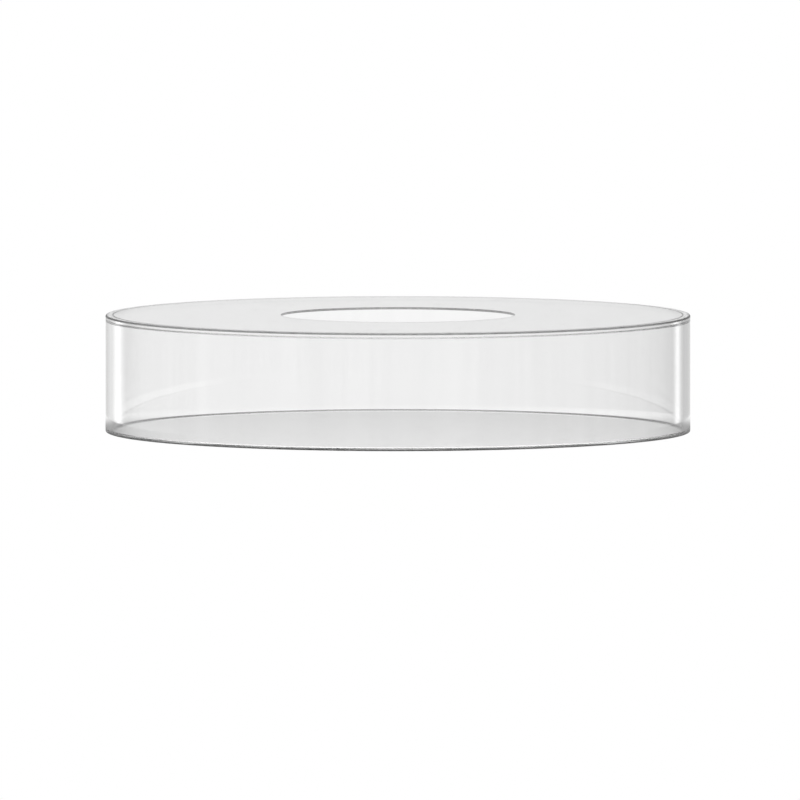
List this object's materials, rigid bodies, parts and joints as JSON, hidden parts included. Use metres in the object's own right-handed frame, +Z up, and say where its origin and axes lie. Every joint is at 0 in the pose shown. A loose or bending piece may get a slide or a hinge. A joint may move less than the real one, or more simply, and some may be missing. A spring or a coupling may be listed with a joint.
{
  "type": "round display riser",
  "caption": "Low round clear acrylic display stand: a drum with a bonded base and a thin drop-in lid that lifts out by the round opening in its middle.",
  "frame": {"origin": "centre of the face that the stand rests on, on the drum's axis", "axes": "+Z is up along the drum's axis, and X and Y lie in the resting face"},
  "size_m": [0.25, 0.25, 0.05],
  "materials": {
    "clear_tube": "clear cast acrylic tube, polished, with flame-polished ends",
    "clear_base_sheet": "clear cast acrylic sheet, polished faces, laser-cut rim",
    "clear_ring_sheet": "clear cast acrylic sheet, polished faces, laser-cut edges",
    "clear_lid_sheet": "clear cast acrylic sheet, polished faces, laser-cut and bevelled edges",
    "cement": "clear set acrylic cement, glossy, with tiny bubbles"
  },
  "bodies": {
    "drum": {"side_wall": "clear_tube", "base_plate": "clear_base_sheet", "base_cement_bead": "cement", "lid_support_ring": "clear_ring_sheet", "ring_cement_bead": "cement"},
    "lid": {"lid_plate": "clear_lid_sheet"}
  },
  "joints": [
    {"name": "lid_lift", "type": "slide", "parent": "drum", "child": "lid", "axis": [0, 0, 1], "range_m": [0, 0.06]}
  ]
}
